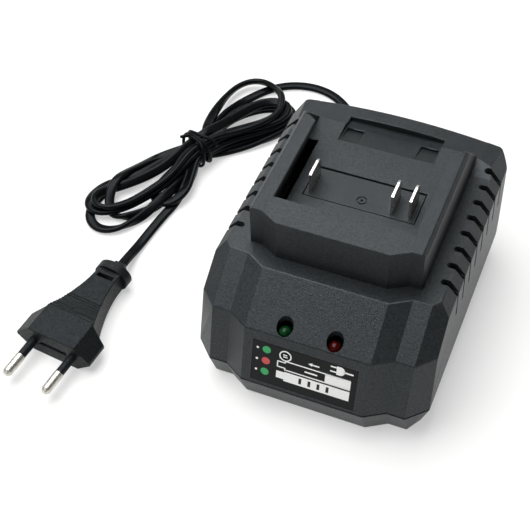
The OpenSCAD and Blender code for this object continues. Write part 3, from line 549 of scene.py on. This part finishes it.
# Five turns of the hank. Each goes left through the tie, round the left fold, back
# through the tie and round the right fold; the tie's pairs are (height, offset).
TURNS = [
    {"out": (6.5, 5.0),
     "left": [(-108.3, 52.5, 5.5), (-113, 47.5, 5), (-117, 41.5, 5), (-120.2, 35.5, 5.5),
              (-122.2, 29, 7), (-122.8, 23, 8.5), (-121.8, 17.5, 7.5), (-120.4, 12.5, 5),
              (-116.5, 9, 3), (-111, 9.5, 2.2), (-106, 13, 2), (-102, 18.5, 2),
              (-98.8, 25.5, 2.3), (-97, 34, 2.5)],
     "back": (2.2, -4.4),
     "right": [(-87, 65, 2.5), (-80, 70, 2.5), (-74, 76, 2.5), (-68, 83, 2.5), (-64, 90, 2.5),
               (-63, 97, 2.5), (-66.5, 102.5, 2.5), (-73, 104.5, 3), (-79.5, 103, 3),
               (-85.5, 99, 3), (-91, 93, 3), (-95, 85, 3)]},
    {"out": (4.0, 3.4),
     "left": [(-106.5, 50, 4), (-111.5, 45, 3.5), (-116.5, 38.5, 3.2), (-121.5, 32, 3),
              (-125.4, 25, 3), (-128, 17.2, 2.5), (-128.2, 9.4, 2.5), (-124.6, 2.6, 2.5),
              (-118.2, -0.4, 2.5), (-112, 1.4, 2.5), (-108, 5.8, 2.5), (-104.6, 11.2, 2.5),
              (-101.5, 17.5, 3), (-98, 25, 4), (-96, 34, 4.5)],
     "back": (4.6, -3.6),
     "right": [(-87.6, 65.5, 4.5), (-81, 72, 4), (-74, 78, 4), (-68.6, 85, 3.5), (-65.2, 91.5, 3.5),
               (-65, 98, 4), (-69.4, 102.4, 4), (-76, 101.6, 5), (-82.4, 97, 5), (-88.6, 90, 5),
               (-93, 81, 5.5)]},
    {"out": (7.2, 1.6),
     "left": [(-100, 47.5, 6.8), (-102, 41.5, 6), (-104.2, 35.5, 5), (-105.2, 29.5, 4.2),
              (-103.6, 24, 3.4), (-98.6, 21.6, 3), (-94, 23.8, 3.4), (-91.6, 29.5, 4.2),
              (-91, 38, 5.4)],
     "back": (7.2, -4.4),
     "right": [(-87.6, 65.5, 7), (-81.6, 72, 6.5), (-75, 78.4, 6), (-69, 85, 6), (-65, 91.4, 6),
               (-64.6, 97.6, 6.5), (-68.8, 101.6, 7), (-75.2, 101, 7), (-81.4, 97, 7.5),
               (-87, 90.4, 7.5), (-91, 82, 8)]},
    {"out": (8.6, 4.0),
     "left": [(-104.4, 49.5, 7.8), (-109.4, 43.5, 6.5), (-114.4, 36.5, 6), (-120, 30, 5.5),
              (-126, 25.6, 5), (-129.8, 20.4, 4.5), (-130.8, 14.2, 4.5), (-128.4, 8.6, 4.5),
              (-123.2, 6.8, 5), (-117.4, 9.4, 6), (-112, 14, 6.5), (-107, 20.6, 7), (-103, 27.4, 7),
              (-99, 35.5, 8)],
     "back": (9.2, -3.2),
     "right": [(-89.4, 66, 9), (-84, 73, 9), (-77.4, 78.6, 8.5), (-71, 83.6, 8.5), (-66.6, 89.4, 8),
               (-64.8, 96.6, 8), (-69, 101.6, 8.5), (-76, 100.8, 8.5), (-82.4, 94.6, 9),
               (-87, 85.6, 9), (-90.6, 77, 9.5)]},
    {"out": (11.6, 2.6),
     "left": [(-102, 47.6, 10.5), (-106, 40.4, 9), (-111, 33.4, 8), (-117, 28, 7.4),
              (-122.6, 24, 7), (-126.8, 19.6, 7), (-128.4, 14, 7.2), (-126, 9.2, 7.5),
              (-121, 7.6, 7.5), (-115.8, 10, 7.6), (-111.4, 14.6, 8), (-107, 21.4, 8.5),
              (-103, 29, 9), (-99, 37.6, 10)],
     "back": (12, -2.0),
     "right": [(-88.6, 66, 11.5), (-83, 72, 11), (-77, 78, 11), (-71.4, 84, 10.5), (-68.6, 91, 10),
               (-70, 99.6, 9.5), (-75, 107.6, 8), (-81.6, 113.4, 7), (-88.8, 115.6, 6),
               (-95, 112, 6), (-98.4, 104.5, 6), (-99.4, 94, 7), (-99, 82, 8), (-97, 70, 10)]},
]

# The last turn ends in a loose loop, between these numbers of points before its end
LOOSE_LOOP = (10, 2)

# Last pass through the tie, and on over the table into the plug
PLUG_LEAD = [
    (-94.4, 62.6, 11.4), (-95, 54, 9.4), (-94.6, 46, 5.6), (-93.8, 37, 2.6), (-93.8, 27, 1.5),
    (-95.4, 17, 1.4), (-96.6, 8, 1.4), (-97.5, -1, 1.6), (-97.9, -8, 2.7), (-97.6, -15, 5),
    (-97.3, -22, 6.85),
]


def cord_route():
    """The whole route, with the stretch of the loose loop given as two arc lengths."""
    points = list(LEAD)
    for turn in TURNS:
        points += waist(*turn["out"]) + turn["left"] + waist(*turn["back"])[::-1] + turn["right"]
    turns_end = len(points)
    steps = 24
    line = spline(points + PLUG_LEAD, steps)
    s = arc_length(line)
    loop_from, loop_to = (s[(turns_end - before) * steps] for before in LOOSE_LOOP)
    return resample(line, STEP), loop_from, loop_to


def smooth_step(x):
    """Eases from 0 to 1."""
    x = np.clip(x, 0, 1)
    return x * x * (3 - 2 * x)


def fade(distance, near, far):
    """One up to the near distance, easing to zero at the far one."""
    return smooth_step((far - distance) / (far - near))


def hank_axes(xy):
    """Distances along and across the hank, from the middle of the tie."""
    off = xy - HANK_MID
    return (off * HANK_AXIS).sum(-1), (off * HANK_SIDE).sum(-1)


def hold_distance(cores, a, b, rest, share, free):
    """Moves each pair of nodes towards the distance between them, as far as they are free."""
    gap = cores[b] - cores[a]
    length = np.maximum(np.linalg.norm(gap, axis=-1, keepdims=True), 1e-9)
    fa, fb = free[a[0]][:, None], free[b[0]][:, None]
    both = np.where(fa + fb == 0, 1, fa + fb)
    shift = share * (length - rest) / length * gap
    cores[a] += shift * fa / both
    cores[b] -= shift * fb / both


def hold_width(cores, free):
    """Keeps the two cores side by side."""
    index = np.arange(len(cores))
    hold_distance(cores, (index, 0), (index, 1), 2 * CORE_OFFSET, WIDTH_SHARE, free)


def hold_shape(cores, free):
    """Keeps the nodes at their distances along, across and diagonally."""
    index = np.arange(len(cores))
    diagonal = math.hypot(SPACING, 2 * CORE_OFFSET)
    for core in (0, 1):
        for odd in (0, 1):
            a = index[odd:-1:2]
            hold_distance(cores, (a, core), (a + 1, core), SPACING, LENGTH_SHARE, free)
    hold_width(cores, free)
    for odd in (0, 1):
        a = index[odd:-1:2]
        for core in (0, 1):
            hold_distance(cores, (a, core), (a + 1, 1 - core), diagonal, SHEAR_SHARE, free)


def close_pairs(flat):
    """Pairs of core nodes that are close, or may be soon, and aren't neighbours along the cord."""
    reach = CORD_T + SEARCH_MARGIN
    d2 = sum((flat[:, None, k] - flat[None, :, k]) ** 2 for k in range(3))
    i, j = np.nonzero(np.triu(d2 < reach ** 2, 1))
    apart = np.abs(i // 2 - j // 2) > NEIGHBOURS
    return i[apart], j[apart]


def push_apart(flat, i, j, free):
    """One step that separates cores lying in each other."""
    gap = flat[j] - flat[i]
    length = np.maximum(np.linalg.norm(gap, axis=1), 1e-6)
    hit = length < CORD_T
    i, j, gap, length = i[hit], j[hit], gap[hit], length[hit]
    fi, fj = free[i // 2], free[j // 2]
    both = np.where(fi + fj == 0, 1, fi + fj)
    shift = (PUSH_SHARE * (CORD_T - length) / length)[:, None] * gap
    move, count = np.zeros_like(flat), np.zeros(len(flat))
    np.add.at(move, i, -shift * (fi / both)[:, None])
    np.add.at(move, j, shift * (fj / both)[:, None])
    np.add.at(count, i, 1)
    np.add.at(count, j, 1)
    flat += move / np.sqrt(np.maximum(count, 1))[:, None]


def squeeze_at_tie(cores, free, radius):
    """Draws the strands under the tie into a round bundle."""
    along, across = hank_axes(cores[:, :, :2])
    height = cores[:, :, 2] - BUNDLE_Z
    reach = np.hypot(across, height)
    over = (np.abs(along) < WAIST_HALF) & (reach > radius) & (free[:, None] > 0)
    share = np.where(over, SQUEEZE_SHARE * (1 - radius / np.maximum(reach, 1e-6)), 0)
    cores[:, :, :2] -= (share * across)[:, :, None] * HANK_SIDE
    cores[:, :, 2] -= share * height


def rest_on_table(cores, free):
    """Keeps the cord just on the table, and on the tie that passes under the hank."""
    along, across = hank_axes(cores[:, :, :2])
    lift = TIE_LIFT * fade(np.abs(along), *LIFT_ALONG) * fade(np.abs(across), *LIFT_ACROSS)
    low = np.maximum(CORD_T / 2 + TABLE_GAP + lift - cores[:, :, 2], 0)
    cores[:, :, 2] += low * (free[:, None] > 0)


def blend(cores, blends, free):
    """Moves each node towards the middle of the two nodes that are gap away, for each blend."""
    for gap, share in blends:
        middle = (cores[:-2 * gap] + cores[2 * gap:]) / 2 - cores[gap:-gap]
        cores[gap:-gap] += share * middle * free[gap:-gap, None, None]


def keep_turn(cores, aim, share):
    """Turns the cord a little back towards the way its wide side should face."""
    middle = cores.mean(1)
    half = (cores[:, 1] - cores[:, 0]) / 2
    half += share[:, None] * (aim * CORE_OFFSET - half)
    untwist = (half[:-2] + half[2:]) / 2 - half[1:-1]
    half[1:-1] += UNTWIST_SHARE * (share[1:-1] > 0)[:, None] * untwist
    cores[:, 0], cores[:, 1] = middle - half, middle + half


def relax(line, width_axis, in_loop, steps=1000):
    """Lets the two cores of the lead settle on the table and on each other."""
    cores = np.stack([line - width_axis * CORE_OFFSET, line + width_axis * CORE_OFFSET], 1)
    free = np.ones(len(line))
    free[:HELD_NODES[0]] = 0
    free[-HELD_NODES[1]:] = 0
    turn_share = (TURN_SHARE + LOOP_TURN_SHARE * in_loop) * free
    first_radius, last_radius = BUNDLE_RADIUS
    for step in range(steps):
        done = step / steps
        # back towards the route, and down
        route_share = FIRST_SHARE * (1 - done) ** 1.5 + ROUTE_SHARE
        pull = line - cores.mean(1)
        pull[:, 2] *= HEIGHT_SHARE
        cores += (route_share * pull * free[:, None])[:, None, :]
        cores[:, :, 2] -= (FALL * free)[:, None]
        # lengths, and stiffness against bends
        for _ in range(3):
            hold_shape(cores, free)
            blend(cores, STIFFNESS, free)
        # contact
        flat = cores.reshape(-1, 3)
        if step % SEARCH_EVERY == 0:
            i, j = close_pairs(flat)
        for _ in range(3):
            push_apart(flat, i, j, free)
        cores = flat.reshape(-1, 2, 3)
        keep_turn(cores, width_axis, turn_share)
        squeeze = min(1, done * SQUEEZE_SPEED)
        squeeze_at_tie(cores, free, first_radius - (first_radius - last_radius) * squeeze)
        rest_on_table(cores, free)
    smooth_out(cores, free)
    return cores


def smooth_out(cores, free):
    """Takes the last kinks out of the settled lead, and lays it on the table again."""
    for _ in range(12):
        blend(cores, SMOOTHING, free)
    for _ in range(3):
        blend(cores, SMOOTHING[:1], free)
    for _ in range(10):
        hold_width(cores, free)
        rest_on_table(cores, free)


def first_width_axis(line, loop_from, loop_to):
    """The cord lies flat at both ends, on edge in the hank, and its loose loop leans back."""
    along = unit_rows(np.gradient(line, axis=0))
    level = unit_rows(np.cross(along, [0, 0, 1.0]))
    upright = np.cross(level, along)
    s = arc_length(line)
    after_start = smooth_step((s - FLAT_START) / EDGE_LENGTH)
    before_end = smooth_step((s[-1] - FLAT_END - s) / EDGE_LENGTH)
    edge = ON_EDGE * after_start * before_end
    axis = np.cos(edge)[:, None] * level + np.sin(edge)[:, None] * upright
    leaning = unit_rows(LOOP_LEAN - (along * LOOP_LEAN).sum(1)[:, None] * along)
    leaning *= np.sign((leaning * axis).sum(1))[:, None]
    share = smooth_step((s - loop_from) / LOOP_LENGTH) * smooth_step((loop_to - s) / LOOP_LENGTH)
    return unit_rows(axis * (1 - share)[:, None] + leaning * share[:, None]), share


def cord_section():
    """Section of a flat two-core cord: two round cores side by side, the valley nearly filled."""
    points = []
    count, split = 24, 3.2           # points round the section, and how sharply the cores part
    valley_depth, valley_half = 0.10, 0.5
    for k in range(count):
        a = 2 * math.pi * (k + 0.5) / count
        x = CORE_OFFSET * np.tanh(split * math.cos(a)) + CORD_T / 2 * math.cos(a)
        z = CORD_T / 2 * math.sin(a) * (1 - valley_depth * math.exp(-((x / valley_half) ** 2)))
        points.append((x * CORD_W / 2 / (CORE_OFFSET + CORD_T / 2), z))
    return points


def make_cord(materials):
    """The whole lead as one piece, with its tie, in place of the solids' lead and tie."""
    line, loop_from, loop_to = cord_route()
    cores = relax(line, *first_width_axis(line, loop_from, loop_to))
    centre = cores.mean(1)
    axis = unit_rows(cores[:, 1] - cores[:, 0])
    along = unit_rows(np.gradient(centre, axis=0))
    axis = unit_rows(axis - (axis * along).sum(1)[:, None] * along)
    across = np.cross(along, axis)
    section = cord_section()
    verts = [(p + a * x + n * z) * MM for p, a, n in zip(centre, axis, across) for x, z in section]
    obj = piece("mains_lead", verts, tube_faces(len(centre), len(section)),
                materials["cord_pvc"])
    s = arc_length(centre)
    side_width = 0.6 * MM            # of one side of the section
    uv = obj.data.uv_layers.new(name="along")
    for loop in obj.data.loops:
        ring, k = divmod(loop.vertex_index, len(section))
        uv.data[loop.index].uv = (s[ring] * MM, k * side_width)
    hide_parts("cord_lead", "cord_hank", "cord_plug_lead")
    tie = make_tie(materials)


def make_tie(materials):
    """Round tie cord: two turns that cross on top of the hank, and two short ends."""
    half_w, half_h, middle = 7.7, 6.85, 7.6
    slant = 2.6                      # how far the turns stray along the hank
    over_first, over_both = 0.7, 1.4  # lift of the second and third pass over the top
    steps, lifted = 96, 7            # in all, and those over which that lift fades
    turns = []

    def squarish(c):
        return math.copysign(abs(c) ** 0.75, c)

    for k in range(steps + 1):
        a = math.radians(90 + k * 720 / steps)
        over = (over_both * math.exp(-((k - steps) / lifted) ** 2)
                + over_first * math.exp(-((k - steps / 2) / lifted) ** 2))
        turns.append(at_hank(-slant * math.sin((a - math.pi / 2) / 2),
                             squarish(math.cos(a)) * half_w,
                             middle + squarish(math.sin(a)) * half_h + over))
    first = [at_hank(-6.4, 3.6, 16.2), at_hank(-4.2, 2.6, 16.2), at_hank(-1.8, 1.6, 15.3)]
    last = [at_hank(2.2, -3.0, 16.0), at_hank(4.0, -6.2, 15.0), at_hank(5.2, -9.2, 12.4)]
    line = resample(spline(first + turns[3:-3:3] + last, 8), 0.5)
    obj = round_tube("tie", line * MM, TIE_D / 2 * MM, 12, materials["tie_pvc"])
    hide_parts("cord_tie")
    return obj


# ---------------------------------------------------------------- label print

def on_label(x, up, out=0.0):
    """A point on the label's face: x across, up from the parting line, out from the face."""
    slope = math.radians(LABEL_SLOPE)
    along = Vector((0, math.cos(slope), math.sin(slope)))
    normal = Vector((0, -math.sin(slope), math.cos(slope)))
    return PARTING + Vector((x * MM, 0, 0)) + along * up * MM + normal * (out * MM - FILM_DEPTH)


def ink(name, outlines, material, lift=0.0):
    """Thin printed shapes, one for each outline of (x, up) points."""
    verts, faces = [], []
    for outline in outlines:
        start, n = len(verts), len(outline)
        for out in (lift, lift + INK):
            verts += [on_label(x, up, out) for x, up in outline]
        faces.append(tuple(start + n + k for k in range(n)))
        faces.append(tuple(start + k for k in reversed(range(n))))
        faces += [(start + k, start + (k + 1) % n, start + n + (k + 1) % n, start + n + k)
                  for k in range(n)]
    piece(name, verts, faces, material, smooth=False)


def disc(x, up, r, count=28):
    """A printed dot."""
    return [(x + r * math.cos(2 * math.pi * k / count), up + r * math.sin(2 * math.pi * k / count))
            for k in range(count)]


def bar(x0, up0, x1, up1, width):
    """A straight printed line from one point to another."""
    dx, du = x1 - x0, up1 - up0
    length = math.hypot(dx, du)
    nx, nu = -du / length * width / 2, dx / length * width / 2
    return [(x0 - nx, up0 - nu), (x1 - nx, up1 - nu), (x1 + nx, up1 + nu), (x0 + nx, up0 + nu)]


def ring(x, up, r, width):
    """A printed ring, as short bars laid round a circle."""
    count = 32
    outlines = []
    for k in range(count):
        a, b = 2 * math.pi * k / count, 2 * math.pi * (k + 1) / count
        outlines.append([(x + q * math.cos(t), up + q * math.sin(t))
                         for q, t in ((r, a), (r + width, a), (r + width, b), (r, b))])
    return outlines


def make_label(materials):
    """Pictograms that explain the lamps: plug, battery being filled, battery full."""
    line = 0.5                       # width of the outlines
    rows = (17.9, 12.5, 7.2)
    white = [disc(-18.7, up, 0.5, 16) for up in rows]
    # idle: a ring with two dashes
    white += ring(-7.6, 17.5, 1.95, line)
    white += [bar(-8.6, 17.95, -6.9, 17.95, 0.45), bar(-8.4, 17.0, -6.7, 17.0, 0.45)]
    # arrow from the plug
    white += [[(1.4, 17.3), (3.0, 18.1), (3.0, 17.6), (5.8, 17.6), (5.8, 17.0), (3.0, 17.0),
               (3.0, 16.5)]]
    # plug: two pins, its cord and its round body
    white += [bar(10.0, 19.6, 12.6, 19.6, 0.6), bar(10.0, 17.4, 12.6, 17.4, 0.6),
              bar(15.2, 18.4, 19.0, 18.4, 0.7)]
    white += [[(12.4, 16.4)] + [(13.6 + 2.1 * math.cos(t), 18.4 + 2.1 * math.sin(t))
              for t in np.radians(np.arange(-75, 76, 15))] + [(12.4, 20.4)]]
    # battery being filled: stepped outline, the right part full
    white += [bar(*ends, line) for ends in (
        (-10.6, 14.3, -7.4, 14.3), (-10.4, 14.3, -10.4, 11.7), (-10.6, 11.7, -7.4, 11.7),
        (-7.4, 15.1, -7.4, 14.1), (-7.4, 11.9, -7.4, 10.9), (-7.6, 15.1, 18.4, 15.1),
        (-7.6, 10.9, 18.4, 10.9))]
    white += [[(8.4, 10.9), (18.4, 10.9), (18.4, 15.1), (8.4, 15.1)]]
    white += [bar(0.4, 13.0, 5.4, 13.0, 0.7)]
    # battery full: stepped bar
    white += [[(-10.6, 6.2), (-7.4, 6.2), (-7.4, 9.6), (-10.6, 9.6)],
              [(-7.5, 5.4), (18.4, 5.4), (18.4, 9.9), (-7.5, 9.9)]]
    ink("label_print_white", white, materials["print_white"])
    dot = 1.65
    ink("label_print_green", [disc(-15.1, rows[0], dot), disc(-15.2, rows[2], dot)],
        materials["print_green"])
    ink("label_print_red", [disc(-15.1, rows[1], dot)], materials["print_red"])
    marks = [bar(x, 6.3, x, 9.0, 1.1) for x in (-1.0, 2.6, 6.2, 9.8)]
    ink("label_print_marks", marks, materials["print_black"], lift=INK)


# ---------------------------------------------------------------- stage, lights and camera

def make_stage():
    """A grey floor that takes the shadow, and is white where it is seen or mirrored."""
    mesh = bpy.data.meshes.new("floor")
    reach = FLOOR_REACH
    mesh.from_pydata([(-reach, -reach, 0), (reach, -reach, 0), (reach, reach, 0),
                      (-reach, reach, 0)], [], [(0, 1, 2, 3)])
    floor = bpy.data.objects.new("floor", mesh)
    bpy.context.scene.collection.objects.link(floor)
    look = Look("floor", 0.8, Specular_IOR_Level=0.1)
    look.shader.inputs["Base Color"].default_value = FLOOR_COLOUR
    look.shader.inputs["Emission Color"].default_value = (1, 1, 1, 1)
    path = look.node("LightPath")
    seen = path.outputs["Is Camera Ray"]
    for ray in ("Is Glossy Ray", "Is Transmission Ray"):
        either = look.node("Math", operation="MAXIMUM")
        look.link(seen, either.inputs[0])
        look.link(path.outputs[ray], either.inputs[1])
        seen = either.outputs["Value"]
    glow = look.node("Math", operation="MULTIPLY")
    glow.inputs[1].default_value = FLOOR_GLOW
    look.link(seen, glow.inputs[0])
    look.link(glow.outputs["Value"], look.shader.inputs["Emission Strength"])
    mesh.materials.append(look.material)


def make_softbox():
    """A wide softbox overhead, a little to the left, that shines straight down."""
    light = bpy.data.lights.new("softbox", "AREA")
    light.shape = "RECTANGLE"
    light.size, light.size_y = SOFTBOX_SIZE
    light.energy = SOFTBOX_WATTS
    softbox = bpy.data.objects.new("softbox", light)
    softbox.location = SOFTBOX_AT
    bpy.context.scene.collection.objects.link(softbox)


def make_room():
    """A dim room with a pale backdrop all round."""
    world = bpy.data.worlds.new("studio")
    bpy.context.scene.world = world
    world.use_nodes = True
    tree = world.node_tree
    background = tree.nodes["Background"]
    background.inputs["Color"].default_value = (1, 1, 1, 1)
    direction = tree.nodes.new("ShaderNodeTexCoord")
    parts = tree.nodes.new("ShaderNodeSeparateXYZ")
    height = tree.nodes.new("ShaderNodeMapRange")
    for end, value in zip(("From Min", "From Max", "To Min", "To Max"), ROOM_EDGE + ROOM_LIGHT):
        height.inputs[end].default_value = value
    tree.links.new(direction.outputs["Generated"], parts.inputs["Vector"])
    tree.links.new(parts.outputs["Z"], height.inputs["Value"])
    tree.links.new(height.outputs["Result"], background.inputs["Strength"])


def make_camera():
    """The camera of the photograph, and the view transform."""
    az, el, roll = (math.radians(a) for a in (CAMERA_AZIMUTH, CAMERA_ELEVATION, CAMERA_ROLL))
    back = Vector((math.sin(az) * math.cos(el), -math.cos(az) * math.cos(el), math.sin(el)))
    right = (-back).cross(Vector((0, 0, 1))).normalized()
    up = right.cross(-back)
    rolled_right = math.cos(roll) * right + math.sin(roll) * up
    rolled_up = -math.sin(roll) * right + math.cos(roll) * up
    data = bpy.data.cameras.new("camera")
    data.sensor_width = SENSOR_MM
    data.lens = SENSOR_MM * FOCAL_PX / IMAGE_PX
    data.clip_start = 0.01
    camera = bpy.data.objects.new("camera", data)
    turn = Matrix((rolled_right, rolled_up, back)).transposed()
    camera.matrix_world = Matrix.Translation(CAMERA_AT) @ turn.to_4x4()
    bpy.context.scene.collection.objects.link(camera)
    bpy.context.scene.camera = camera
    bpy.context.scene.view_settings.view_transform = "Standard"


make_camera()
materials = make_materials()
dress_cad(materials)
make_cord(materials)
make_label(materials)
make_stage()
make_softbox()
make_room()
